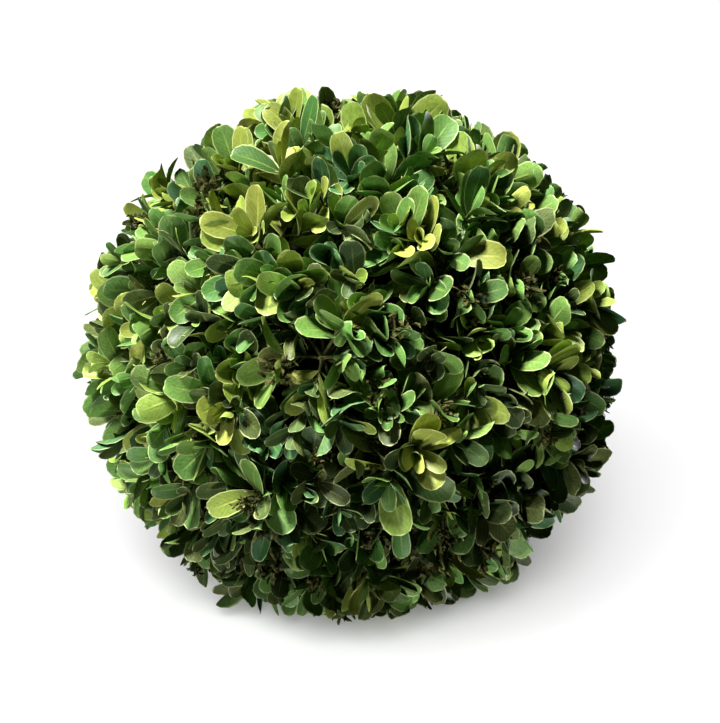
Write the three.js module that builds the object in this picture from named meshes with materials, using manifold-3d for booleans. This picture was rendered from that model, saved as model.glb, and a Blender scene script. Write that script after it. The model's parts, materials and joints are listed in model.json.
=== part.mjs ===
// A preserved box topiary ball: cut sprays of box leaves pinned all over a round form and clipped to
// a ball, which lies on the leaves of its own underside. Millimetres, +Z up. The origin is on the
// floor, under the middle of the ball.

import * as THREE from "three";
import { mergeVertices } from "three/addons/utils/BufferGeometryUtils.js";
import Module from "manifold-3d";

const wasm = await Module();
wasm.setup();

// Driving dimensions of the ball
const ballDiameter = 254; // across its furthest leaf tips
const clippedDiameter = 240; // where the shears take off most leaf tips
const flatDiameter = 60; // the flat that the ball's own weight presses underneath
const formDiameter = 184; // the round form that the stems are pinned to
const formDetail = 4; // how often each face of an icosahedron is cut across to make it round
const sprayCount = 44;
const sprayClearance = 0.25; // from a spray to the wall of its own space
const seatGap = 0.3; // from a stem's foot to the form

// Stems and twigs
const limbSides = 4;
const stemLength = 21; // from the form to its tip
const stemRadii = [2.2, 1.3]; // at the foot and at the tip
const forkLength = 6; // from the form to the fork
const footSink = 3; // how far a stem starts inside the form, before it is cut clear of it
const twigsPerFork = 2;
const twigLength = [10, 13];
const twigLean = [25, 44]; // degrees from the stem
const twigRadii = [1.7, 1.3]; // at the fork and at the tip
const leastDetail = 0.01; // corners nearer to each other than this make a sliver

// Leaves, larger than the 20 mm of real ones, because there are fewer
const leafLength = [30, 35];
const leafWidthShare = 0.65;
const leafThickness = 1.1;
const leafCup = 0.1; // how far the sides rise, as a share of the leaf's width
const leafFormClearance = 2; // from a leaf to the form
const leafSink = 0.2; // how far a leaf's foot lies past the middle of its twig
const leafNeck = 4; // the stretch of a leaf by its foot that may touch the spray
const leafSwing = [-14, 14]; // degrees from its place in the pair, round the shoot
const leafRoll = [-25, 25]; // degrees about its own length
const leafTries = 120; // poses tried before a leaf is skipped

const tipRadius = ballDiameter / 2;
const formRadius = formDiameter / 2;
const centreHeight = Math.sqrt((clippedDiameter / 2) ** 2 - (flatDiameter / 2) ** 2);

// Park and Miller's seeded random numbers
let seed = 5;
function random() {
  seed = (seed * 16807) % 2147483647;
  return seed / 2147483647;
}
const between = ([low, high]) => low + (high - low) * random();
const radians = THREE.MathUtils.degToRad;

// Directions spread evenly over a ball, a golden angle apart
function spreadDirections(count) {
  const goldenAngle = Math.PI * (3 - Math.sqrt(5));
  return Array.from({ length: count }, (_, i) => {
    const z = 1 - (2 * i + 1) / count;
    const across = Math.sqrt(1 - z * z);
    return new THREE.Vector3(across * Math.cos(goldenAngle * i), across * Math.sin(goldenAngle * i), z);
  });
}
const sprayDirections = spreadDirections(sprayCount);

// A spray's space is the cone of points nearer to its own direction than to any other's, between
// the form and the ball's furthest tips. The test gives a point with some girth as much more room.
function spaceOf(index) {
  const own = sprayDirections[index];
  const walls = sprayDirections
    .filter((_, i) => i !== index)
    .map((other) => own.clone().sub(other).normalize());
  return (point, girth = 0) =>
    walls.every((wall) => wall.dot(point) >= sprayClearance + girth) &&
    point.length() <= tipRadius - girth &&
    point.length() >= formRadius + leafFormClearance + girth;
}

// A unit vector at right angles to axis, turned about it by angle
function sideways(axis, angle) {
  const start = Math.abs(axis.z) < 0.9 ? new THREE.Vector3(0, 0, 1) : new THREE.Vector3(1, 0, 0);
  return start.cross(axis).normalize().applyAxisAngle(axis, angle);
}

// The direction that leans from axis by lean, towards the side that angle gives
function leaning(axis, lean, angle) {
  return axis.clone().multiplyScalar(Math.cos(lean)).addScaledVector(sideways(axis, angle), Math.sin(lean));
}

// A tapering limb between two points, with a flat side towards the side that turn gives
function limbGeometry(from, to, turn, [startRadius, endRadius]) {
  const length = from.distanceTo(to);
  const up = to.clone().sub(from).normalize();
  const side = sideways(up, turn + Math.PI / limbSides);
  const frame = new THREE.Matrix4().makeBasis(side, up, side.clone().cross(up)).setPosition(from);
  const geometry = new THREE.CylinderGeometry(endRadius, startRadius, length, limbSides, 1);
  return geometry.translate(0, length / 2, 0).applyMatrix4(frame);
}

// An obovate leaf: a pointed foot, its widest part past the middle, and a blunt tip.
// Its corners are [across, along, up] as shares of its width, its length and its cup.
const leafOutline = [
  [0, 0, 0],
  [0.5, 0.6, 1],
  [0.28, 0.98, 0.3],
  [-0.28, 0.98, 0.3],
  [-0.5, 0.6, 1],
];
const leafMiddle = 0.4; // where along the leaf it is thickest

// The leaf's corners in place: the outline, then the middle of its upper face and of its lower face.
// What would lie below the floor is pressed flat on it, with the leaf's thickness above it.
function leafCorners(foot, along, face, length) {
  const across = along.clone().cross(face);
  const width = leafWidthShare * length;
  const place = (x, y, z, side = 0) => {
    const corner = foot.clone().addScaledVector(across, x).addScaledVector(along, y).addScaledVector(face, z);
    const leastHeight = side * face.z > 0 ? leafThickness : 0;
    corner.z = Math.max(corner.z, leastHeight - centreHeight);
    return corner;
  };
  const outline = leafOutline.map(([x, y, z]) => place(x * width, y * length, z * leafCup * width));
  const middles = [0.5, -0.5].map((side) => place(0, leafMiddle * length, side * leafThickness, side));
  return [...outline, ...middles];
}

// Both faces of the leaf are fans of triangles from its middles to its outline.
function leafGeometry(corners) {
  const count = leafOutline.length;
  const faces = [];
  for (let i = 0; i < count; i++) {
    const next = (i + 1) % count;
    faces.push(i, next, count, next, i, count + 1);
  }
  const geometry = new THREE.BufferGeometry().setFromPoints(corners);
  return geometry.setIndex(faces);
}

// A closed geometry as a solid that can be joined and cut
function solidFrom(geometry) {
  const bare = geometry.clone();
  bare.deleteAttribute("normal");
  bare.deleteAttribute("uv");
  const merged = mergeVertices(bare);
  return new wasm.Manifold(
    new wasm.Mesh({
      numProp: 3,
      vertProperties: merged.attributes.position.array,
      triVerts: new Uint32Array(merged.index.array),
    }),
  );
}

function geometryFrom(solid) {
  const { vertProperties, triVerts } = solid.getMesh();
  const geometry = new THREE.BufferGeometry();
  geometry.setAttribute("position", new THREE.BufferAttribute(vertProperties, 3));
  return geometry.setIndex(new THREE.BufferAttribute(triVerts, 1));
}

// How many corners of a solid lie so near to others that they would merge with them
function sliverCount(solid) {
  const merged = mergeVertices(geometryFrom(solid), leastDetail);
  return solid.numVert() - merged.attributes.position.count;
}

// Where a shoot's pairs of leaves stand, as shares of its length, and how many degrees they lean
// from it
const stemNodes = [
  { share: 0.62, lean: [63, 75] },
  { share: 0.93, lean: [67, 85] },
];
const twigNodes = [
  { share: 0.38, lean: [56, 88] },
  { share: 0.88, lean: [34, 70] },
];

// Two opposite leaves at a place on a shoot, joined to the spray so far. Their upper faces look
// towards the shoot's tip. A leaf is posed again until it keeps to the spray's space, has its blade
// clear of all that is there and joins without slivers, and is skipped if it never does.
function growPair(spray, { place, shoot, lean, turn, fits }) {
  let grown = spray;
  for (const side of [0, Math.PI]) {
    for (let i = 0; i < leafTries; i++) {
      const angle = turn + side + radians(between(leafSwing));
      const along = leaning(shoot, radians(between(lean)), angle);
      const face = shoot.clone().addScaledVector(along, -shoot.dot(along)).normalize();
      face.applyAxisAngle(along, radians(between(leafRoll)));
      const foot = place.clone().addScaledVector(along, -leafSink);
      const corners = leafCorners(foot, along, face, between(leafLength));
      if (!corners.every((corner) => fits(corner))) continue;
      const leaf = solidFrom(leafGeometry(corners));
      const pastFoot = along.clone().multiplyScalar(leafNeck).toArray();
      if (!grown.intersect(leaf.translate(pastFoot)).isEmpty()) continue;
      const joined = grown.add(leaf);
      if (sliverCount(joined) > sliverCount(grown)) continue;
      grown = joined;
      break;
    }
  }
  return grown;
}

// Pairs of leaves at the nodes of a shoot, each pair a quarter turn from the last
function growLeaves(spray, { from, to, nodes, turn, fits }) {
  const shoot = to.clone().sub(from).normalize();
  return nodes.reduce((grown, { share, lean }, i) => {
    const place = from.clone().lerp(to, share);
    return growPair(grown, { place, shoot, lean, turn: turn + (i * Math.PI) / 2, fits });
  }, spray);
}

// The round form, grown by a margin
const formGeometry = (margin = 0) => new THREE.IcosahedronGeometry(formRadius + margin, formDetail);
const formSeat = solidFrom(formGeometry(seatGap));

// A spray stands on one stem, which forks into twigs on opposite sides and carries on between them.
// The stem's foot is cut to the form's own facets. A twig that would leave the spray's space is
// skipped.
function growSpray(index) {
  const direction = sprayDirections[index];
  const fits = spaceOf(index);
  const turn = random() * 2 * Math.PI;
  const [start, foot, fork, tip] = [-footSink, 0, forkLength, stemLength].map((height) =>
    direction.clone().multiplyScalar(formRadius + height),
  );
  const shoots = [{ from: foot, to: tip, nodes: stemNodes, turn: turn + Math.PI / 2, fits }];
  let spray = solidFrom(limbGeometry(start, tip, turn, stemRadii)).subtract(formSeat);
  for (let i = 0; i < twigsPerFork; i++) {
    const side = turn + (i * 2 * Math.PI) / twigsPerFork;
    const shoot = leaning(direction, radians(between(twigLean)), side);
    const end = fork.clone().addScaledVector(shoot, between(twigLength));
    if (!fits(end, twigRadii[1])) continue;
    spray = spray.add(solidFrom(limbGeometry(fork, end, turn, twigRadii)));
    shoots.push({ from: fork, to: end, nodes: twigNodes, turn, fits });
  }
  return shoots.reduce(growLeaves, spray.simplify(leastDetail));
}

const mossMaterial = new THREE.MeshStandardMaterial({ color: "#2a2c19", roughness: 0.95, metalness: 0 });
const leafMaterials = ["#3f6b2a", "#567f33", "#2f5724", "#7f9a3b"].map(
  (color) => new THREE.MeshStandardMaterial({ color, roughness: 0.5, metalness: 0 }),
);

const ball = new THREE.Group();
ball.name = "box_topiary_ball";
ball.position.z = centreHeight;

const form = new THREE.Mesh(formGeometry(), mossMaterial);
form.name = "form_ball";
ball.add(form);

for (let i = 0; i < sprayCount; i++) {
  const geometry = geometryFrom(growSpray(i).simplify(leastDetail));
  geometry.computeVertexNormals();
  const spray = new THREE.Mesh(geometry, leafMaterials[i % leafMaterials.length]);
  spray.name = `leaf_spray_${String(i + 1).padStart(2, "0")}`;
  ball.add(spray);
}

export default ball;
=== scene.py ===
"""Looks of a preserved box topiary ball: a moss-covered form, forking twigs, some thousands of box
leaves in the preserver's greens, dried buds and bare stalks. Metres, +Z up, with the origin on the
floor under the middle of the ball."""
import json

import bpy
import numpy as np
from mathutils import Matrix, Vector

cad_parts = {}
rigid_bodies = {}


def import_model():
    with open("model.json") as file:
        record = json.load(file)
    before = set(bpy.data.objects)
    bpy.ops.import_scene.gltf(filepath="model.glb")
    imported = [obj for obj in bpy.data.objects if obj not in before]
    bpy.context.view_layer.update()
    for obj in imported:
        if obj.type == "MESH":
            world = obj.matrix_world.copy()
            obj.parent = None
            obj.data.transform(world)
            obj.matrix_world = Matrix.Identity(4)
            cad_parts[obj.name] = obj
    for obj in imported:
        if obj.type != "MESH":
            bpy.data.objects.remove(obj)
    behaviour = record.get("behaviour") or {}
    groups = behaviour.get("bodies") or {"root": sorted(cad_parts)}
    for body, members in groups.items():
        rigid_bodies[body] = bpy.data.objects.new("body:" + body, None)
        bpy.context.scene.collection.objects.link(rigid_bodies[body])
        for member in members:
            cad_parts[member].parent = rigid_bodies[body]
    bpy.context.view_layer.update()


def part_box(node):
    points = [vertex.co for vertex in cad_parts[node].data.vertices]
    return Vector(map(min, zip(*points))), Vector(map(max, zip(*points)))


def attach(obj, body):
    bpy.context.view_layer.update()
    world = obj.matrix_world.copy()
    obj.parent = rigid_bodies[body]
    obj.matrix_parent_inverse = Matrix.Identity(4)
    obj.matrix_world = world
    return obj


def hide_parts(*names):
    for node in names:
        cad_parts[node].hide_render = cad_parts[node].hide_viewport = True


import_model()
form_low, form_high = (np.array(corner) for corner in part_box("form_ball"))

bl_info = {
    "name": "Preserved box topiary ball",
    "version": (1, 0, 0),
    "blender": (4, 5, 0),
    "location": "View3D > Sidebar > Box Ball",
    "description": "Builds a preserved box topiary ball from a round form, twigs and leaves",
    "category": "Add Mesh",
}


def linear(colour):
    """The linear colour of an sRGB hex value."""
    parts = np.array([int(colour[i : i + 2], 16) / 255 for i in (1, 3, 5)])
    return tuple(np.where(parts > 0.04045, ((parts + 0.055) / 1.055) ** 2.4, parts / 12.92).tolist())


# Tints that the preserver's dye and age leave in the leaves: name, colour of the upper side, share of
# the leaves, and the record's slot that the tint belongs to. The pale tints grow commoner upwards as
# painted light, where the key falls from above.
TINTS = [
    ("mid_green", "#467635", 0.20, "leaf_mid_green"),
    ("fresh_green", "#568a3c", 0.16, "leaf_light_green"),
    ("deep_green", "#325028", 0.16, "leaf_deep_green"),
    ("yellow_green", "#87a23f", 0.10, "leaf_yellow_green"),
    ("blue_green", "#316b3f", 0.12, "leaf_mid_green"),
    ("spring_green", "#6c9944", 0.09, "leaf_light_green"),
    ("olive_green", "#415427", 0.09, "leaf_deep_green"),
    ("lime_green", "#99aa48", 0.08, "leaf_yellow_green"),
]
SLOT_ORDER = ["leaf_mid_green", "leaf_light_green", "leaf_deep_green", "leaf_yellow_green"]


class BallSizes(bpy.types.PropertyGroup):
    """Sizes of the ball, its twigs and its leaves."""

    tip_radius: bpy.props.FloatProperty(
        name="Tip radius", description="From the middle to the furthest leaf tips",
        default=0.1305, unit="LENGTH",
    )
    spray_count: bpy.props.IntProperty(
        name="Sprays", description="Stems pinned to the form", default=44, min=4,
    )
    stem_length: bpy.props.FloatProperty(
        name="Stem length", description="From the form to a stem's tip", default=0.021, unit="LENGTH",
    )
    stem_radius: bpy.props.FloatProperty(
        name="Stem radius", description="At a stem's foot", default=0.0016, unit="LENGTH",
    )
    sprig_count: bpy.props.IntProperty(
        name="Sprigs", description="Fine twigs that the stems fork into", default=600, min=44,
    )
    sprig_radius: bpy.props.FloatProperty(
        name="Sprig radius", description="At a sprig's fork", default=0.0008, unit="LENGTH",
    )
    leaf_length: bpy.props.FloatProperty(
        name="Leaf length", description="Of a full-grown leaf", default=0.022, unit="LENGTH",
    )
    leaf_thickness: bpy.props.FloatProperty(
        name="Leaf thickness", description="Along a leaf's middle", default=0.0005, unit="LENGTH",
    )
    bud_cluster_count: bpy.props.IntProperty(
        name="Bud clusters", description="Dried flower buds among the leaves", default=130, min=0,
    )
    stalk_count: bpy.props.IntProperty(
        name="Bare stalks", description="Thin stalks that have lost their leaves", default=1500, min=0,
    )
    pressed_height: bpy.props.FloatProperty(
        name="Pressed height", description="Leaves lower than this are pressed on the floor",
        default=0.003, unit="LENGTH",
    )
    # Painted light: the pale tints are made commoner at the top, where the key falls from above.
    top_paleness_as_painted_light: bpy.props.FloatProperty(
        name="Top paleness", description="How much commoner the pale tints are at the top than below",
        default=1.4, min=0.0,
    )
    loosening_passes: bpy.props.IntProperty(
        name="Loosening passes", description="How often leaves that pierce others are posed again",
        default=26, min=0,
    )
    seed: bpy.props.IntProperty(name="Seed", description="Starts the random numbers", default=11)


class BallColours(bpy.types.PropertyGroup):
    """Colours of what carries the leaves."""

    # The moss is darker than the dried moss itself: its colour carries painted shade for the gaps
    # between the leaves.
    moss: bpy.props.FloatVectorProperty(
        name="Moss", description="Dried moss round the form", subtype="COLOR", size=3,
        default=linear("#1b1c0c"),
    )
    # The bark is darker than its own green: its colour also carries painted shade for the gaps between
    # the leaves.
    bark: bpy.props.FloatVectorProperty(
        name="Bark", description="Green bark of young box twigs", subtype="COLOR", size=3,
        default=linear("#56572d"),
    )
    stalk: bpy.props.FloatVectorProperty(
        name="Stalk", description="Bare dried stalks", subtype="COLOR", size=3,
        default=linear("#b1aa6e"),
    )
    bud: bpy.props.FloatVectorProperty(
        name="Buds", description="Dried flower buds", subtype="COLOR", size=3,
        default=linear("#484821"),
    )


class StudioSettings(bpy.types.PropertyGroup):
    """Camera and lights."""

    camera_elevation: bpy.props.FloatProperty(
        name="Camera elevation", description="Angle above the level", subtype="ANGLE",
        default=float(np.radians(18)),
    )
    camera_distance: bpy.props.FloatProperty(
        name="Camera distance", description="From the middle of the ball", default=0.797, unit="LENGTH",
    )
    aim_offset: bpy.props.FloatVectorProperty(
        name="Aim", description="Where the camera looks, from the middle of the ball", size=3,
        default=(0.0028, 0, -0.0027), subtype="TRANSLATION",
    )
    focal_length: bpy.props.FloatProperty(
        name="Focal length", description="In millimetres, on a 36 mm sensor", default=85.0,
    )
    key_strength: bpy.props.FloatProperty(
        name="Key light", description="Sun strength of the key light", default=10.7,
    )
    fill_strength: bpy.props.FloatProperty(
        name="Fill light", description="Sun strength of the front fill", default=1.1,
    )


# Growth, in metres

FORK_HEIGHT, FORK_SPAN = 0.002, 0.014  # of the lowest fork from the form, and to the highest
SPRIG_REACH = (0.1015, 0.1135)  # from the ball's middle to most sprigs' tips
REACH_SWELL = 0.004  # how much further whole patches of sprigs reach
REACH_STRAY = 0.006  # how much further the odd sprig reaches
FORM_CLEARANCE = 0.002  # from the form to the middle of a leaf
TIP_MARGIN = 0.0015  # by which a leaf's straight length stays inside the tips' reach
DRAWN_IN = 0.009  # how much less leaves reach at the floor
DRAWN_HEIGHT = 0.03  # from where they reach less
LOWEST_TIP = -0.005  # before it is pressed on the floor
FIRST_POSES = 24  # how often a leaf that doesn't fit is posed again
MOST_PIERCED = 3  # neighbours that a leaf may still meet
NEAR_FEET, NEAR_LEAVES = 0.032, 0.045  # how near leaves that can meet are, by foot and by both marks
SCALES_PER_CLUSTER = 46  # of dried buds
CLUSTER_RADIUS = 0.0062
STALK_MARGIN = 0.013  # from a bare stalk's tip to the tips' reach


def unit(vectors):
    """The vectors at a length of one."""
    return vectors / np.linalg.norm(vectors, axis=-1, keepdims=True)


def dot(a, b):
    """The dot product along the last axis, which is kept."""
    return (a * b).sum(-1, keepdims=True)


def ball_form():
    """The middle and the radius of the round form."""
    return (form_low + form_high) / 2, float((form_high - form_low).max() / 2)


def spread_directions(count):
    """Directions over a ball: heights in equal steps, each turned a golden angle from the last."""
    i = np.arange(count)
    z = 1 - (2 * i + 1) / count
    turn = np.pi * (3 - np.sqrt(5)) * i
    across = np.sqrt(1 - z * z)
    return np.stack([across * np.cos(turn), across * np.sin(turn), z], -1)


def sideways(axis, angle):
    """Unit vectors at right angles to axis, turned about it by angle."""
    level = unit(np.cross(np.where(np.abs(axis[..., 2:]) < 0.9, [0, 0, 1.0], [1.0, 0, 0]), axis))
    return level * np.cos(angle)[..., None] + np.cross(axis, level) * np.sin(angle)[..., None]


def pressed(points, height):
    """The points with what lies lower than height pressed on the floor: the depth below height dies
    away exponentially, so that nothing reaches the floor itself."""
    z = points[..., 2]
    low = height * np.exp(np.minimum(z - height, 0) / height)
    return np.concatenate([points[..., :2], np.where(z < height, low, z)[..., None]], -1)


def grow_sprigs(sizes, rng):
    """Bent sprigs as the three control points of a quadratic curve, from the forks of their stem to
    tips spread over the whole ball. A sprig belongs to the stem that it stands nearest to, and the
    ones that spread widest leave it lowest."""
    centre, form_radius = ball_form()
    stems = spread_directions(sizes.spray_count)
    aims = unit(spread_directions(sizes.sprig_count) + rng.normal(0, 0.035, (sizes.sprig_count, 3)))
    nearness = aims @ stems.T
    owner = nearness.argmax(1)
    spread = np.arccos(np.clip(nearness.max(1), -1, 1))
    height = FORK_HEIGHT + FORK_SPAN * (1 - spread / spread.max())
    start = centre + stems[owner] * (form_radius + height)[:, None]
    swell = np.sin(aims @ (unit(rng.normal(0, 1, (5, 3))) * 5).T + rng.uniform(0, 6, 5)).mean(1)
    reach = rng.uniform(*SPRIG_REACH, len(aims)) + REACH_SWELL * swell
    reach = reach + REACH_STRAY * rng.random(len(aims)) ** 5
    end = centre + aims * reach[:, None]
    drift = rng.normal(0, 0.22, (len(stems), 3))[owner] + rng.normal(0, 0.17, aims.shape)
    heading = unit(aims + drift - [0, 0, 0.06])
    bend = end - heading * 0.5 * np.linalg.norm(end - start, axis=1)[:, None]
    return np.stack([start, bend, end], 1)


def budded_sprigs(sizes):
    """The sprigs that end in a cluster of dried buds in place of their last pairs of leaves."""
    rng = np.random.default_rng(sizes.seed + 1)
    return rng.choice(sizes.sprig_count, sizes.bud_cluster_count, replace=False)


def along_curve(sprigs, t):
    """Points and directions at the shares t of quadratic curves: the point is the two end points and
    the control point weighed by the squares and the product of t and 1 - t."""
    start, bend, end = (sprigs[:, i, None] for i in range(3))
    t = t[..., None]
    points = (1 - t) ** 2 * start + 2 * t * (1 - t) * bend + t**2 * end
    return points, unit((1 - t) * (bend - start) + t * (end - bend))


# Where a sprig's pairs of leaves stand, as shares of it, how far grown a pair is, and from where on
# buds take the place of leaves
NODE_SHARES = np.array([0.3, 0.45, 0.6, 0.76, 0.9, 1.0])
NODE_GROWTH = np.array([1.0, 1.0, 1.0, 0.97, 0.84, 0.5])
BUDDED_SHARE = 0.7


def pose_leaves(nodes, rng, which):
    """Draws a pose for the leaves in which: the directions of their length and of their upper face, and
    how far they bend along their length. A leaf leans from its shoot, the more the lower it stands and
    the more open its sprig is, and its upper face looks towards the shoot's tip. It is rolled about
    its own length at random."""
    shoot, share, turn = nodes["shoot"][which], nodes["share"][which], nodes["turn"][which]
    count = len(shoot)
    lean = (62 - 36 * share) * nodes["openness"][which] + rng.uniform(-14, 14, count)
    lean = np.radians(lean + nodes["push"][which])
    angle = turn + np.radians(rng.uniform(-24, 24, count))
    along = shoot * np.cos(lean)[:, None] + sideways(shoot, angle) * np.sin(lean)[:, None]
    face = unit(shoot - along * dot(shoot, along))
    roll = np.radians(rng.normal(0, 24, count))[:, None]
    face = face * np.cos(roll) + np.cross(along, face) * np.sin(roll)
    return {"along": along, "face": face, "bend": rng.uniform(-0.7, 0.4, count)}


def leaf_marks(leaves, which):
    """Four points of each leaf: near its foot, at its tip, and on both edges at its widest."""
    foot, along, face = (leaves[key][which] for key in ("foot", "along", "face"))
    length, width = leaves["length"][which], leaves["width"][which]
    sidewards = np.cross(along, face)
    places = [(0, 0.15), (0, 0.97), (-0.46, 0.62), (0.46, 0.62)]
    marks = [
        foot + sidewards * (x * width)[:, None] + along * (y * length)[:, None]
        + face * (length * leaves["bend"][which] * y**2 / 2)[:, None]
        for x, y in places
    ]
    return np.stack(marks, 1)


def piercings(leaves, marks, others, which):
    """How many pairs of neighbours pierce each other: whether one of the lines between a leaf's marks
    changes sides of the other leaf's bent plane inside that leaf's outline."""
    foot, along, face, bend = (leaves[key][others] for key in ("foot", "along", "face", "bend"))
    length, width = leaves["length"][others][:, None], leaves["width"][others][:, None]
    offset = marks[which] - foot[:, None]
    x = (offset * np.cross(along, face)[:, None]).sum(-1)
    y = (offset * along[:, None]).sum(-1) / length
    height = (offset * face[:, None]).sum(-1) - length * bend[:, None] * y**2 / 2
    pierced = np.zeros(len(which), bool)
    for a, b in ((0, 1), (2, 3), (2, 1), (3, 1)):
        gap = height[:, a] - height[:, b]
        part = height[:, a] / np.where(gap == 0, 1, gap)
        at_x = x[:, a] + (x[:, b] - x[:, a]) * part
        at_y = y[:, a] + (y[:, b] - y[:, a]) * part
        half = width[:, 0] * 0.5 * np.sqrt(np.clip(np.sin(np.pi * np.clip(at_y, 0, 1) ** 1.4), 0, 1))
        across = height[:, a] * height[:, b] < 0
        pierced |= across & (at_y > 0.1) & (at_y < 0.98) & (np.abs(at_x) < half)
    return pierced


def loosen(leaves, rng, passes, fits):
    """Poses leaves that pierce others again, and keeps a new pose where it pierces fewer leaves."""
    count = len(leaves["foot"])
    near = []
    for i in range(0, count, 500):
        apart = np.linalg.norm(leaves["foot"][i : i + 500, None] - leaves["foot"][None], axis=2)
        near.append(np.argwhere(apart < NEAR_FEET) + [i, 0])
    one, two = np.concatenate(near).T
    one, two = one[one != two], two[one != two]

    def counts(poses, chosen):
        """Piercings of each leaf when the chosen leaves take their poses and the others stay."""
        tried = dict(leaves)
        for key, values in poses.items():
            tried[key] = np.where(chosen.reshape(-1, *[1] * (values.ndim - 1)), values, leaves[key])
        marks, new_marks = leaf_marks(leaves, slice(None)), leaf_marks(tried, slice(None))
        a, b = one[chosen[one]], two[chosen[one]]
        apart = new_marks[a, :2].sum(1) - marks[b, :2].sum(1)
        close = (apart**2).sum(1) < NEAR_LEAVES**2
        a, b = a[close], b[close]
        hit = piercings(tried, marks, a, b) | piercings(leaves, new_marks, b, a)
        return np.bincount(a[hit], minlength=count)

    everyone = np.ones(count, bool)
    for _ in range(passes):
        now = counts({}, everyone)
        movers = (now > 0) & (rng.random(count) < 0.4)
        poses = pose_leaves(leaves, rng, slice(None))
        movers &= fits({**leaves, **poses})
        better = movers & (counts(poses, movers) < now)
        for key, values in poses.items():
            leaves[key] = np.where(better.reshape(-1, *[1] * (values.ndim - 1)), values, leaves[key])
    return counts({}, everyone)


def grow_leaves(sizes, rng):
    """Leaves in opposite pairs along the sprigs, each pair a quarter turn from the last. A leaf that
    would leave the ball or meet the form is posed again, and is left out if it never fits, as are the
    last pairs of a sprig that ends in buds. Then leaves that pierce each other are posed again, and
    those that still pierce several are left out."""
    centre, form_radius = ball_form()
    sprigs = grow_sprigs(sizes, rng)
    count, stages = len(sprigs), len(NODE_SHARES)
    pair = (count, stages, 2)

    def over_pairs(values):
        return np.broadcast_to(values, pair).ravel()

    t = np.clip(NODE_SHARES + rng.uniform(-0.04, 0.04, (count, stages)), 0, 1)
    points, shoots = along_curve(sprigs, t)
    turns = rng.uniform(0, 2 * np.pi, (count, 1, 1)) + np.arange(stages)[:, None] * np.pi / 2
    length = sizes.leaf_length * rng.uniform(0.84, 1.17, (count, 1, 1)) * NODE_GROWTH[:, None]
    length = length * rng.uniform(0.72, 1.13, pair)
    nodes = {
        "foot": np.broadcast_to(points[:, :, None], (*pair, 3)).reshape(-1, 3),
        "shoot": np.broadcast_to(shoots[:, :, None], (*pair, 3)).reshape(-1, 3),
        "share": over_pairs(np.linspace(0, 1, stages)[:, None]),
        "turn": over_pairs(turns + np.array([0, np.pi])),
        "length": length.ravel(),
        "width": (length * rng.uniform(0.42, 0.61, pair)).ravel(),
        "sprig": over_pairs(np.arange(count)[:, None, None]),
        "openness": over_pairs(rng.uniform(0.7, 1.15, (count, 1, 1))),
        "push": np.zeros(length.size),
    }

    def fits(leaves):
        """Leaves whose tip is inside the ball, which draws in near the floor, and isn't far below the
        floor, and whose middle is clear of the form."""
        tip = leaves["foot"] + leaves["along"] * leaves["length"][:, None]
        middle = (leaves["foot"] + tip) / 2
        limit = sizes.tip_radius - TIP_MARGIN - DRAWN_IN * np.clip(1 - tip[:, 2] / DRAWN_HEIGHT, 0, 1)
        inside = np.linalg.norm(tip - centre, axis=1) < limit
        clear = np.linalg.norm(middle - centre, axis=1) > form_radius + FORM_CLEARANCE
        return inside & clear & (tip[:, 2] > LOWEST_TIP)

    nodes.update(pose_leaves(nodes, rng, slice(None)))
    for _ in range(FIRST_POSES):
        wrong = np.flatnonzero(~fits(nodes))
        outward = dot(nodes["shoot"][wrong], unit(nodes["foot"][wrong] - centre))[:, 0] > 0
        nodes["push"][wrong] += np.where(outward, 2.5, -2.5)
        for key, values in pose_leaves(nodes, rng, wrong).items():
            nodes[key][wrong] = values
    budded = np.isin(nodes["sprig"], budded_sprigs(sizes)) & (nodes["share"] > BUDDED_SHARE)
    keep = fits(nodes) & ~budded
    leaves = {name: values[keep] for name, values in nodes.items()}
    pierced = loosen(leaves, rng, sizes.loosening_passes, fits)
    keep = pierced <= MOST_PIERCED
    return {name: values[keep] for name, values in leaves.items()}


# Shapes

# A leaf's grid: rows along it and columns across it, as shares. Small leaves do with fewer.
LEAF_GRID = (
    np.array([0, 0.07, 0.25, 0.46, 0.67, 0.84, 0.95, 1.0]), np.array([-1, -0.5, 0, 0.5, 1.0]),
)
SCALE_GRID = (np.array([0, 0.3, 0.7, 1.0]), np.array([-1, 0, 1.0]))
CELLS = 4  # leaves side by side on the leaf map, which has as many rows, half of them undersides
HALF_CELL, CELL_EDGE = 0.45, 0.05  # a leaf's half width in its cell, and the margin round it


def leaf_outline(rows, blunt, wedge):
    """Half the width of a leaf at each row, as a share of its widest: a power of the length for the
    foot, wedge-shaped or rounder, times the root of one less a square for the round tip."""
    q = np.clip((rows - 0.03) / 0.97, 0, 1)
    width = q**wedge * np.sqrt(1 - blunt * q**2)
    return np.maximum(width / width.max(-1, keepdims=True), 0.1)


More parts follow.
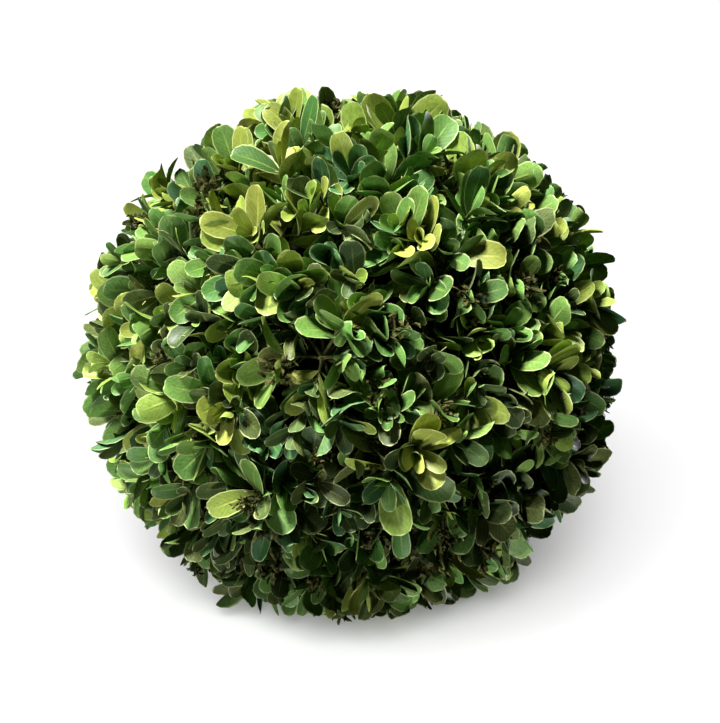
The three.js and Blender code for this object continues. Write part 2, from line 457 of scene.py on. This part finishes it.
def leaf_surfaces(leaves, rng, thickness, grid, arcs, curled_share):
    """Upper and lower surfaces of leaves on a grid of rows along and columns across. The section is an
    arc, the midrib an arc too, and the section turns a little along the leaf. The lower surface lies
    a thickness below the upper one and meets it round the edge. The tip is notched or round."""
    rows, columns = grid
    count = len(leaves["foot"])

    def draw(low, high):
        return rng.uniform(low, high, count)[:, None, None]

    u = columns[None, None]
    t = rows[None, :, None]
    length, width = leaves["length"][:, None, None], leaves["width"][:, None, None]
    x_share = u * leaf_outline(rows, draw(0.972, 0.992)[..., 0], draw(0.56, 0.8)[..., 0])[..., None]
    curled = (rng.random(count) < curled_share)[:, None, None]
    arc = np.where(curled, draw(1.1, 2.1), draw(*arcs))
    across = width / 2 * x_share * np.sinc(arc * x_share / np.pi)
    rise = width / 2 * (arc * x_share**2 / 2 * np.sinc(arc * x_share / 2 / np.pi) ** 2)
    rise = rise + width / 2 * draw(0.0, 0.14) * np.abs(x_share)
    rise = rise + width * 0.02 * u * np.sin(2 * np.pi * (1.3 * t + draw(0, 1)))
    inner = np.zeros((len(rows), len(columns)))
    inner[1:-1, 1:-1] = 1 - columns[1:-1] ** 2 / 2
    bend = leaves["bend"][:, None, None] + np.where(curled, draw(-0.6, 0.6), 0)
    twist = draw(-0.3, 0.3) * t
    notch = draw(-0.01, 0.03) * (1 - np.abs(u)) + 0.012 * u**2
    at = t * (1 - np.where(t > 0.99, notch, 0))
    mid_y = length * at * np.sinc(bend * at / np.pi)
    mid_z = length * bend * at**2 / 2 * np.sinc(bend * at / 2 / np.pi) ** 2
    sidewards = np.cross(leaves["along"], leaves["face"])
    surfaces = []
    for side in (0.5, -0.5):
        h = rise + side * thickness * inner
        x = across * np.cos(twist) - h * np.sin(twist)
        h = across * np.sin(twist) + h * np.cos(twist)
        y = mid_y - h * np.sin(bend * at)
        z = mid_z + h * np.cos(bend * at)
        place = leaves["foot"][:, None, None] + x[..., None] * sidewards[:, None, None]
        place = place + y[..., None] * leaves["along"][:, None, None]
        surfaces.append(place + z[..., None] * leaves["face"][:, None, None])
    return surfaces


def leaf_mesh_parts(grid):
    """The faces of one leaf, as corners of its upper grid and then of the inside of its lower grid, and
    the map place of each face corner in one cell."""
    rows, columns = len(grid[0]), len(grid[1])
    upper = np.arange(rows * columns).reshape(rows, columns)
    lower = upper.copy()
    lower[1:-1, 1:-1] = rows * columns + np.arange((rows - 2) * (columns - 2)).reshape(rows - 2, -1)

    def quads(numbers):
        corners = [numbers[:-1, :-1], numbers[:-1, 1:], numbers[1:, 1:], numbers[1:, :-1]]
        return np.stack(corners, -1).reshape(-1, 4)

    across, along = np.meshgrid(0.5 + HALF_CELL * grid[1], CELL_EDGE + 2 * HALF_CELL * grid[0])
    cell = np.stack([across.ravel()[quads(upper)], along.ravel()[quads(upper)]], -1)
    return quads(upper), quads(lower)[:, ::-1], cell, cell[:, ::-1]


def put_leaves(name, surfaces, grid, rng, pressed_height, materials):
    """One piece of many leaves. Every leaf takes one cell of the leaf map at random for its upper side
    and the cell half the map lower for its underside."""
    tops, bottoms = surfaces
    count = len(tops)
    inner = bottoms[:, 1:-1, 1:-1].reshape(count, -1, 3)
    points = pressed(np.concatenate([tops.reshape(count, -1, 3), inner], 1), pressed_height)
    upper, lower, upper_cell, lower_cell = leaf_mesh_parts(grid)
    per_leaf = points.shape[1]
    faces = np.concatenate([upper, lower])
    all_faces = (faces + np.arange(count)[:, None, None] * per_leaf).reshape(-1, 4)
    corner = rng.integers(0, [CELLS, CELLS // 2], (count, 2))
    top_places = upper_cell + (corner + [0, CELLS // 2])[:, None, None]
    low_places = lower_cell + corner[:, None, None]
    places = np.concatenate([top_places, low_places], 1).reshape(-1, 2) / CELLS
    piece = surface_piece(name, points.reshape(-1, 3), all_faces, materials)
    mesh = piece.data
    if len(materials) > 1:
        lower_side = (np.arange(len(faces)) >= len(upper)).astype(np.int32)
        mesh.polygons.foreach_set("material_index", np.tile(lower_side, count))
    for layer in ("LeafMap", "OFBake"):
        mesh.uv_layers.new(name=layer).uv.foreach_set("vector", places.ravel().astype(np.float32))
    mesh.uv_layers["LeafMap"].active_render = True
    ends = np.empty(len(mesh.edges) * 2, np.int32)
    mesh.edges.foreach_get("vertices", ends)
    numbers = np.arange(tops[0, ..., 0].size).reshape(tops.shape[1:3])
    inside = np.zeros(per_leaf, bool)
    inside[numbers[1:-1, 1:-1].ravel()] = True
    inside[numbers.size :] = True
    rim = ~inside[ends.reshape(-1, 2) % per_leaf].any(1)
    sharp = mesh.attributes.new("sharp_edge", "BOOLEAN", "EDGE")
    sharp.data.foreach_set("value", rim)
    return piece


def tube_points(points, directions, radii, sides):
    """Rings round bent centre lines, each at right angles to its direction, from a side vector that is
    the same all along the line."""
    first, last = directions[:, :1], directions[:, -1:]
    # Any side will do for a straight line, whose cross product is nothing
    side = unit(np.cross(first, last) + 1e-9 * sideways(first, np.zeros((1, 1))))
    side = unit(side - directions * dot(side, directions))
    other = np.cross(directions, side)
    angle = np.arange(sides) * 2 * np.pi / sides
    ring = side[:, :, None] * np.cos(angle)[:, None] + other[:, :, None] * np.sin(angle)[:, None]
    return points[:, :, None] + ring * radii[..., None, None]


def tube_faces(count, rings, sides):
    """Quads along tubes of rings, with ends that are closed by quads. Sides is 4 or 6."""
    grid = np.arange(rings * sides).reshape(rings, sides)
    after = np.roll(grid, -1, 1)
    walls = np.stack([grid[:-1], after[:-1], after[1:], grid[1:]], -1).reshape(-1, 4)
    fan = np.array([[0, 1, 2, 3]] if sides == 4 else [[0, 1, 2, 3], [0, 3, 4, 5]])
    one = np.concatenate([walls, fan[:, ::-1], fan + (rings - 1) * sides])
    return (one + np.arange(count)[:, None, None] * rings * sides).reshape(-1, 4)


def surface_piece(name, points, faces, materials):
    """A mesh of quads as a new piece that rides on the root."""
    mesh = bpy.data.meshes.new(name)
    mesh.vertices.add(len(points))
    mesh.vertices.foreach_set("co", points.astype(np.float32).ravel())
    mesh.loops.add(faces.size)
    mesh.loops.foreach_set("vertex_index", faces.astype(np.int32).ravel())
    mesh.polygons.add(len(faces))
    mesh.polygons.foreach_set("loop_start", np.arange(0, faces.size, 4, dtype=np.int32))
    mesh.update(calc_edges=True)
    mesh.polygons.foreach_set("use_smooth", np.ones(len(faces), bool))
    for material in materials:
        mesh.materials.append(material)
    piece = bpy.data.objects.new(name, mesh)
    bpy.context.collection.objects.link(piece)
    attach(piece, "root")
    return piece


# Materials


def add_node(tree, kind, settings=(), inputs=()):
    """Adds a node, sets its properties, and gives each input its value or links it to a socket."""
    node = tree.nodes.new(kind)
    for name, value in dict(settings).items():
        setattr(node, name, value)
    for name, value in dict(inputs).items():
        if isinstance(value, bpy.types.NodeSocket):
            tree.links.new(value, node.inputs[name])
        else:
            node.inputs[name].default_value = value
    return node


def new_material(name):
    """An empty material with its shader and output in place."""
    material = bpy.data.materials.new(name)
    material.use_nodes = True
    tree = material.node_tree
    tree.nodes.clear()
    shader = add_node(tree, "ShaderNodeBsdfPrincipled")
    add_node(tree, "ShaderNodeOutputMaterial", {}, {"Surface": shader.outputs[0]})
    return material, tree, shader


def scaled(colour, factor, towards=(1, 1, 1), amount=0.0):
    """A linear colour made brighter by factor and mixed with another by amount, with its alpha."""
    mixed = np.array(colour[:3]) * factor * (1 - amount) + np.array(towards) * amount
    return (*np.clip(mixed, 0, 1).tolist(), 1.0)


def mix(tree, factor, a, b):
    """The colour between a and b at factor."""
    node = add_node(tree, "ShaderNodeMix", {"data_type": "RGBA"}, {0: factor, 6: a, 7: b})
    return node.outputs[2]


def ramp(tree, value, low, high, flipped=False):
    """A smooth step of value from 0 at low to 1 at high, or the other way round."""
    node = add_node(
        tree, "ShaderNodeMapRange", {"interpolation_type": "SMOOTHSTEP"},
        {0: value, 1: low, 2: high, 3: float(flipped), 4: float(not flipped)},
    )
    return node.outputs[0]


def maths(tree, operation, a, b=0.0, c=0.0):
    """One sum on numbers."""
    return add_node(tree, "ShaderNodeMath", {"operation": operation}, {0: a, 1: b, 2: c}).outputs[0]


def preserved_leaf(name, colour, underside):
    """A box leaf kept soft with glycerine and dye. The upper side has a thick waxy skin: satin, with a
    pale midrib, faint side veins and a pale rim, partly the leaf's cartilage margin and partly a
    painted highlight along the edge. The underside is paler, yellower and matt. Each cell of the leaf
    map holds one leaf with a tone of its own. Towards its foot each leaf is darkened with painted
    shade."""
    material, tree, shader = new_material(name)
    uv = add_node(tree, "ShaderNodeUVMap", {"uv_map": "LeafMap"}).outputs[0]
    vector_maths = "ShaderNodeVectorMath"
    grid = add_node(tree, vector_maths, {"operation": "SCALE"}, {0: uv, 3: float(CELLS)}).outputs[0]
    cell = add_node(tree, vector_maths, {"operation": "FLOOR"}, {0: grid}).outputs[0]
    local = add_node(tree, vector_maths, {"operation": "FRACTION"}, {0: grid}).outputs[0]
    xy = add_node(tree, "ShaderNodeSeparateXYZ", {}, {0: local}).outputs
    across = maths(tree, "MULTIPLY_ADD", xy[0], 1 / HALF_CELL, -0.5 / HALF_CELL)
    side = maths(tree, "ABSOLUTE", across)
    share = maths(tree, "MULTIPLY_ADD", xy[1], 0.5 / HALF_CELL, -CELL_EDGE / (2 * HALF_CELL))
    deal = add_node(tree, "ShaderNodeTexWhiteNoise", {"noise_dimensions": "3D"}, {0: cell})
    tone = deal.outputs[0]
    hue = add_node(tree, "ShaderNodeSeparateColor", {}, {0: deal.outputs[1]}).outputs[1]
    # Blotches of about a third of a leaf, where the dye has taken unevenly
    blotch = add_node(
        tree, "ShaderNodeTexNoise", {},
        {"Vector": grid, "Scale": 2.6, "Detail": 2.0, "Roughness": 0.55},
    ).outputs[0]
    # Mottling a few millimetres across, as the leaf dries
    mottle = add_node(
        tree, "ShaderNodeTexNoise", {},
        {"Vector": grid, "Scale": 12.0, "Detail": 3.0, "Roughness": 0.65},
    ).outputs[0]
    # A side vein every 2 mm or so, sloping towards the tip
    slope = maths(tree, "MULTIPLY_ADD", side, -0.28, share)
    vein = maths(tree, "SINE", maths(tree, "MULTIPLY", slope, 62.0))
    vein = ramp(tree, vein, 0.55, 1.0)
    rib = ramp(tree, side, 0.035, 0.11, flipped=True)
    rib = maths(tree, "MULTIPLY", rib, ramp(tree, share, 0.55, 1.0, flipped=True))
    # A pale rim round the edge: partly the leaf's own pale margin, partly a painted highlight along the
    # edge.
    rim = maths(tree, "MAXIMUM", ramp(tree, side, 0.87, 0.95), ramp(tree, share, 0.96, 0.985))
    yellow, straw = linear("#c7cc62"), linear("#d6db9c")
    vein_share, rib_share = (0.25, 0.75) if underside else (0.2, 0.55)
    if underside:
        dark, light = scaled(colour, 0.9, yellow, 0.04), scaled(colour, 1.25, yellow, 0.12)
        pale, edge = scaled(colour, 1.4, yellow, 0.35), scaled(colour, 1.3, straw, 0.45)
    else:
        dark, light = scaled(colour, 0.7), scaled(colour, 1.2, yellow, 0.05)
        pale, edge = scaled(colour, 1.3, yellow, 0.28), scaled(colour, 1.4, straw, 0.55)
    base = mix(tree, tone, dark, light)
    warm = mix(tree, 0.5, base, scaled(colour, 1.2, yellow, 0.3))
    base = mix(tree, ramp(tree, blotch, 0.52, 0.78), base, warm)
    dried = maths(tree, "MULTIPLY", ramp(tree, mottle, 0.42, 0.66), 0.5)
    base = mix(tree, dried, base, scaled(colour, 0.45))
    # Painted shade: each leaf is darkened towards its foot, where its neighbours shade it.
    foot = mix(tree, 0.75, base, scaled(colour, 0.25))
    base = mix(tree, ramp(tree, share, 0.0, 0.75, flipped=True), base, foot)
    base = mix(tree, maths(tree, "MULTIPLY", vein, vein_share), base, pale)
    base = mix(tree, maths(tree, "MULTIPLY", rib, rib_share), base, pale)
    base = mix(tree, maths(tree, "MULTIPLY", rim, 0.9), base, edge)
    turned = add_node(
        tree, "ShaderNodeHueSaturation", {},
        {"Hue": maths(tree, "MULTIPLY_ADD", hue, 0.036, 0.48), "Saturation": 1.0, "Color": base},
    )
    tree.links.new(turned.outputs[0], shader.inputs["Base Color"])
    rough = ramp(tree, blotch, 0.3, 0.75)
    low, high = (0.66, 0.8) if underside else (0.46, 0.6)
    rough = maths(tree, "MULTIPLY_ADD", rough, high - low, low)
    tree.links.new(rough, shader.inputs["Roughness"])
    shader.inputs["IOR"].default_value = 1.45
    groove = maths(tree, "MULTIPLY_ADD", vein, 0.2 if underside else 0.1, rib)
    groove = maths(tree, "MULTIPLY_ADD", mottle, 0.6, groove)
    height = maths(tree, "MULTIPLY", groove, 1.0 if underside else -1.0)
    bump = add_node(tree, "ShaderNodeBump", {}, {"Strength": 0.4, "Distance": 0.0003, "Height": height})
    tree.links.new(bump.outputs[0], shader.inputs["Normal"])
    return material


def fibrous(name, colour, scale, contrast, bump_distance, roughness):
    """A dry fibrous skin, such as bark or moss: matt, with darker and paler flecks at the given scale
    and a rough surface."""
    material, tree, shader = new_material(name)
    place = add_node(tree, "ShaderNodeTexCoord").outputs["Object"]
    fleck = add_node(
        tree, "ShaderNodeTexNoise", {},
        {"Vector": place, "Scale": scale, "Detail": 5.0, "Roughness": 0.65},
    ).outputs[0]
    amount = ramp(tree, fleck, 0.35, 0.68)
    base = mix(tree, amount, scaled(colour, 1 - contrast), scaled(colour, 1 + contrast))
    tree.links.new(base, shader.inputs["Base Color"])
    shader.inputs["Roughness"].default_value = roughness
    shader.inputs["Specular IOR Level"].default_value = 0.2
    bump = add_node(
        tree, "ShaderNodeBump", {}, {"Strength": 0.8, "Distance": bump_distance, "Height": fleck}
    )
    tree.links.new(bump.outputs[0], shader.inputs["Normal"])
    return material


# Pieces


def ball_settings():
    """The sizes, the colours and a fresh start of the random numbers."""
    scene = bpy.context.scene
    return scene.ball_sizes, scene.ball_colours, np.random.default_rng(scene.ball_sizes.seed)


class BOXBALL_OT_form(bpy.types.Operator):
    """Covers the form with dried moss: a ball sunk by up to 2 mm in tufts about 6 mm across"""

    bl_idname = "boxball.form"
    bl_label = "Moss form"

    def execute(self, context):
        sizes, colours, rng = ball_settings()
        centre, radius = ball_form()
        rows, columns = 96, 144
        tilt = np.linspace(0, np.pi, rows)[1:-1, None]
        turn = np.linspace(0, 2 * np.pi, columns, endpoint=False)[None]
        ball = np.stack([np.sin(tilt) * np.cos(turn), np.sin(tilt) * np.sin(turn),
                         np.cos(tilt) + 0 * turn], -1)
        waves = unit(rng.normal(0, 1, (14, 3))) * rng.uniform(14, 48, (14, 1))
        tufts = np.sin(ball @ waves.T + rng.uniform(0, 6, 14)).mean(-1, keepdims=True)
        points = (centre + ball * (radius - 0.0012 + 0.0028 * np.minimum(tufts, 0.35))).reshape(-1, 3)
        poles = centre + [[0, 0, radius - 0.001], [0, 0, 0.001 - radius]]
        grid = np.arange((rows - 2) * columns).reshape(rows - 2, columns)
        after = np.roll(grid, -1, 1)
        walls = np.stack([grid[:-1], grid[1:], after[1:], after[:-1]], -1).reshape(-1, 4)
        top, bottom = len(points), len(points) + 1
        # The poles are closed by quads that span two steps of the nearest ring
        first, last = grid[0], grid[-1]
        half = columns // 2
        caps = [np.stack([np.full(half, top), first[::2], first[1::2], np.roll(first[::2], -1)], -1),
                np.stack([np.full(half, bottom), np.roll(last[::2], -1), last[1::2], last[::2]], -1)]
        # The moss colour is darkened with painted shade for the gaps between the leaves.
        material = fibrous("Dried moss", colours.moss, 420.0, 0.6, 0.0012, 0.95)
        piece = surface_piece("moss_form", np.concatenate([points, poles]),
                              np.concatenate([walls, *caps]), [material])
        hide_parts("form_ball")
        return {"FINISHED"}


class BOXBALL_OT_twigs(bpy.types.Operator):
    """Grows the stems and the sprigs that they fork into, as tapering tubes along bent lines"""

    bl_idname = "boxball.twigs"
    bl_label = "Stems and sprigs"

    def execute(self, context):
        sizes, colours, rng = ball_settings()
        centre, radius = ball_form()
        sprigs = grow_sprigs(sizes, rng)
        stems = spread_directions(sizes.spray_count)[:, None]
        heights = np.linspace(-0.002, sizes.stem_length * 0.85, 6)[None, :, None]
        stem_points = centre + stems * (radius + heights)
        stem_radii = np.broadcast_to(np.linspace(1, 0.5, 6) * sizes.stem_radius, (len(stems), 6))
        upwards = np.broadcast_to(stems, stem_points.shape)
        shares = np.broadcast_to(np.linspace(0, 1, 8), (len(sprigs), 8))
        points, directions = along_curve(sprigs, shares)
        radii = np.broadcast_to(np.linspace(1, 0.55, 8) * sizes.sprig_radius, shares.shape)
        tubes = [
            tube_points(stem_points, upwards, stem_radii, 6).reshape(-1, 3),
            tube_points(points, directions, radii, 6).reshape(-1, 3),
        ]
        faces = [tube_faces(len(stems), 6, 6), tube_faces(len(sprigs), 8, 6) + len(tubes[0])]
        # The bark colour carries painted shade for the gaps between the leaves.
        piece = surface_piece(
            "stems_and_sprigs", pressed(np.concatenate(tubes), sizes.pressed_height),
            np.concatenate(faces), [fibrous("Young box bark", colours.bark, 600.0, 0.3, 0.0003, 0.7)],
        )
        return {"FINISHED"}


class BOXBALL_OT_leaves(bpy.types.Operator):
    """Grows the leaves, one piece for each tint"""

    bl_idname = "boxball.leaves"
    bl_label = "Leaves"

    def execute(self, context):
        sizes, _, rng = ball_settings()
        centre, _ = ball_form()
        leaves = grow_leaves(sizes, rng)
        count = len(leaves["foot"])
        shares = np.array([share for _, _, share, _ in TINTS])
        paleness = np.array([sum(linear(colour)) for _, colour, _, _ in TINTS])
        # Painted light: the pale tints are weighted towards the top, as if lit from above.
        height = (leaves["foot"][:, 2:] - centre[2]) / sizes.tip_radius
        weights = shares * np.exp(sizes.top_paleness_as_painted_light * height * (paleness / (shares @ paleness) - 1))
        weights = weights.cumsum(1) / weights.sum(1, keepdims=True)
        # A sprig's leaves mostly share one draw, and so one tint
        drawn = np.where(rng.random(count) < 0.55, rng.random(sizes.sprig_count)[leaves["sprig"]],
                         rng.random(count))
        tint = (drawn[:, None] > weights).sum(1)
        self.report({"INFO"}, f"{count} leaves")
        replaced = set()
        for i, (name, colour, _, slot) in enumerate(TINTS):
            chosen = {key: values[tint == i] for key, values in leaves.items()}
            materials = [
                preserved_leaf(f"Preserved leaf, {name} upper side", linear(colour), False),
                preserved_leaf(f"Preserved leaf, {name} underside", linear(colour), True),
            ]
            surfaces = leaf_surfaces(chosen, rng, sizes.leaf_thickness, LEAF_GRID, (-0.1, 0.75), 0.08)
            piece = put_leaves(
                f"leaves_{name}", surfaces, LEAF_GRID, rng, sizes.pressed_height, materials
            )
            if slot not in replaced:
                first = SLOT_ORDER.index(slot)
                numbers = range(first + 1, sizes.spray_count + 1, len(SLOT_ORDER))
                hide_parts(*(f"leaf_spray_{number:02d}" for number in numbers))
                replaced.add(slot)
        return {"FINISHED"}


class BOXBALL_OT_stalks(bpy.types.Operator):
    """Adds thin bare stalks among the leaves: bent tapering tubes that start on the sprigs"""

    bl_idname = "boxball.stalks"
    bl_label = "Bare stalks"

    def execute(self, context):
        sizes, colours, rng = ball_settings()
        centre, _ = ball_form()
        sprigs = grow_sprigs(sizes, rng)
        chosen = rng.integers(0, len(sprigs), sizes.stalk_count)
        starts = rng.uniform(0.45, 1, (len(chosen), 1))
        foot, shoot = (x[:, 0] for x in along_curve(sprigs[chosen], starts))
        lean = np.radians(rng.uniform(5, 75, len(chosen)))[:, None]
        side = sideways(shoot, rng.uniform(0, 2 * np.pi, len(chosen)))
        aim = shoot * np.cos(lean) + side * np.sin(lean)
        length = rng.uniform(0.007, 0.016, len(chosen))[:, None]
        bend = foot + aim * length * 0.5
        end = bend + unit(aim + rng.normal(0, 0.95, aim.shape)) * length * 0.5
        keep = np.linalg.norm(end - centre, axis=1) < sizes.tip_radius - STALK_MARGIN
        lines = np.stack([foot, bend, end], 1)[keep]
        shares = np.broadcast_to(np.linspace(0, 1, 5), (len(lines), 5))
        points, directions = along_curve(lines, shares)
        radii = rng.uniform(0.0002, 0.0004, (len(lines), 1)) * np.array([1.25, 1, 0.9, 0.8, 0.95])
        tubes = tube_points(points, directions, radii, 4).reshape(-1, 3)
        piece = surface_piece(
            "bare_stalks", pressed(tubes, sizes.pressed_height), tube_faces(len(lines), 5, 4),
            [fibrous("Dry stalk", colours.stalk, 700.0, 0.35, 0.0002, 0.75)],
        )
        return {"FINISHED"}


class BOXBALL_OT_buds(bpy.types.Operator):
    """Adds clusters of dried flower buds: small curled scales that stand round the sprigs' nodes"""

    bl_idname = "boxball.buds"
    bl_label = "Dried buds"

    def execute(self, context):
        sizes, colours, rng = ball_settings()
        sprigs = grow_sprigs(sizes, rng)
        clusters = budded_sprigs(sizes)
        per_cluster = SCALES_PER_CLUSTER
        shares = rng.uniform(0.85, 1.0, (len(clusters), 1))
        middle, shoot = (
            np.repeat(x[:, 0], per_cluster, 0) for x in along_curve(sprigs[clusters], shares)
        )
        count = len(middle)
        aim = unit(shoot * 0.9 + rng.normal(0, 0.75, (count, 3)))
        girth = np.repeat(rng.uniform(0.7, 1.3, len(clusters)), per_cluster)
        outward = unit(rng.normal(0, 1, (count, 3)))
        away = (CLUSTER_RADIUS * girth * rng.random(count))[:, None]
        foot = middle + outward * away + shoot * 0.006
        length = rng.uniform(0.0025, 0.006, count) * girth
        scales = {
            "foot": foot, "along": aim, "length": length,
            "width": length * rng.uniform(0.35, 0.6, count),
            "face": sideways(aim, rng.uniform(0, 2 * np.pi, count)),
            "bend": rng.uniform(-1.6, 1.6, count),
        }
        surfaces = leaf_surfaces(scales, rng, 0.0003, SCALE_GRID, (0.6, 1.8), 0.3)
        material = fibrous("Dried bud scale", colours.bud, 900.0, 0.7, 0.0003, 0.8)
        piece = put_leaves("dried_buds", surfaces, SCALE_GRID, rng, sizes.pressed_height, [material])
        return {"FINISHED"}


class BOXBALL_OT_studio(bpy.types.Operator):
    """Lays the pale floor and sets the lights and the camera"""

    bl_idname = "boxball.studio"
    bl_label = "Floor, lights and camera"

    def execute(self, context):
        scene = context.scene
        studio = scene.ball_studio
        centre, _ = ball_form()
        scene.view_settings.view_transform = "Standard"

        corner = np.array([[-3, -3, 0], [3, -3, 0], [3, 3, 0], [-3, 3, 0.0]])
        mesh = bpy.data.meshes.new("floor")
        mesh.from_pydata(corner.tolist(), [], [(0, 1, 2, 3)])
        floor = bpy.data.objects.new("floor", mesh)
        context.collection.objects.link(floor)
        material, tree, shader = new_material("White studio floor")
        place = add_node(tree, "ShaderNodeTexCoord").outputs["Object"]
        grain = add_node(tree, "ShaderNodeTexNoise", {}, {"Vector": place, "Scale": 900.0}).outputs[0]
        tree.links.new(mix(tree, grain, scaled(linear("#e6e6e6"), 1), scaled(linear("#e9e9e9"), 1)),
                       shader.inputs["Base Color"])
        shader.inputs["Roughness"].default_value = 0.9
        shader.inputs["Specular IOR Level"].default_value = 0.0
        mesh.materials.append(material)
        floor.visible_diffuse = False
        floor.visible_glossy = False
        floor.visible_shadow = False

        # The key comes from high on the left, and with the fills it lights the ball alone. The floor
        # has lights of its own, low in front, which leave soft shadows beside and behind the ball.
        ball_lit = bpy.data.collections.new("lit_with_the_ball")
        floor_lit = bpy.data.collections.new("lit_with_the_floor")
        floor_lit.objects.link(floor)
        for piece in context.collection.objects:
            if piece.type == "MESH" and piece is not floor:
                ball_lit.objects.link(piece)

        def add_sun(name, towards, strength, width, lit, colour=(1.0, 1.0, 1.0)):
            """A light that is width degrees across, as seen from the ball."""
            light = bpy.data.lights.new(name, "SUN")
            light.energy, light.angle, light.color = strength, float(np.radians(width)), colour
            lamp = bpy.data.objects.new(name, light)
            lamp.rotation_euler = Vector(towards).to_track_quat("Z", "Y").to_euler()
            context.collection.objects.link(lamp)
            lamp.light_linking.receiver_collection = lit
            return lamp

        add_sun("key", (-0.38, -0.16, 0.91), studio.key_strength, 12, ball_lit, (1.0, 0.99, 0.97))
        add_sun("front_fill", (-0.62, -0.77, -0.16), studio.fill_strength, 10, ball_lit)
        add_sun("back_fill", (0.62, 0.77, 0.14), 2.0, 20, ball_lit)
        add_sun("floor_bounce", (-0.2, -0.65, -0.74), 1.9, 10, ball_lit)
        add_sun("floor_left", (-0.3, -0.72, 0.6), 2.85, 44, floor_lit)
        add_sun("floor_front", (0.03, -0.81, 0.59), 2.75, 26, floor_lit)
        wash = add_sun("floor_wash", (0, 0, 1), 1.2, 60, floor_lit)
        wash.data.use_shadow = False

        world = bpy.data.worlds.new("studio")
        world.use_nodes = True
        tree = world.node_tree
        tree.nodes.clear()
        seen = add_node(tree, "ShaderNodeLightPath").outputs["Is Camera Ray"]
        backdrop = "ShaderNodeBackground"
        dim = add_node(tree, backdrop, {}, {0: (0.85, 0.95, 1.0, 1.0), 1: 0.003}).outputs[0]
        white = add_node(tree, backdrop, {}, {0: (1.0, 1.0, 1.0, 1.0), 1: 1.0}).outputs[0]
        both = add_node(tree, "ShaderNodeMixShader", {}, {0: seen, 1: dim, 2: white}).outputs[0]
        add_node(tree, "ShaderNodeOutputWorld", {}, {0: both})
        scene.world = world

        camera = bpy.data.cameras.new("camera")
        camera.lens, camera.sensor_width = studio.focal_length, 36.0
        eye = bpy.data.objects.new("camera", camera)
        rise = studio.camera_elevation
        back = np.array([0, -np.cos(rise), np.sin(rise)])
        aim = np.array([0, 0, float(centre[2])]) + np.array(studio.aim_offset)
        eye.location = (aim + back * studio.camera_distance).tolist()
        eye.rotation_euler = Vector(back.tolist()).to_track_quat("Z", "Y").to_euler()
        context.collection.objects.link(eye)
        scene.camera = eye
        return {"FINISHED"}


class BOXBALL_PT_panel(bpy.types.Panel):
    """Lists the ball's settings and the steps that build it"""

    bl_label = "Box Ball"
    bl_idname = "BOXBALL_PT_panel"
    bl_space_type = "VIEW_3D"
    bl_region_type = "UI"
    bl_category = "Box Ball"

    def draw(self, context):
        scene = context.scene
        for group in (scene.ball_sizes, scene.ball_colours, scene.ball_studio):
            for name in group.__annotations__:
                self.layout.prop(group, name)
        for operator in OPERATORS:
            self.layout.operator(operator.bl_idname)


OPERATORS = [
    BOXBALL_OT_form, BOXBALL_OT_twigs, BOXBALL_OT_leaves, BOXBALL_OT_stalks, BOXBALL_OT_buds,
    BOXBALL_OT_studio,
]
CLASSES = [BallSizes, BallColours, StudioSettings, *OPERATORS, BOXBALL_PT_panel]


def register():
    for item in CLASSES:
        bpy.utils.register_class(item)
    bpy.types.Scene.ball_sizes = bpy.props.PointerProperty(type=BallSizes)
    bpy.types.Scene.ball_colours = bpy.props.PointerProperty(type=BallColours)
    bpy.types.Scene.ball_studio = bpy.props.PointerProperty(type=StudioSettings)


def unregister():
    for name in ("ball_sizes", "ball_colours", "ball_studio"):
        delattr(bpy.types.Scene, name)
    for item in reversed(CLASSES):
        bpy.utils.unregister_class(item)


def main():
    register()
    steps = bpy.ops.boxball
    for step in (steps.form, steps.twigs, steps.leaves, steps.stalks, steps.buds, steps.studio):
        step()


if __name__ == "__main__":
    main()
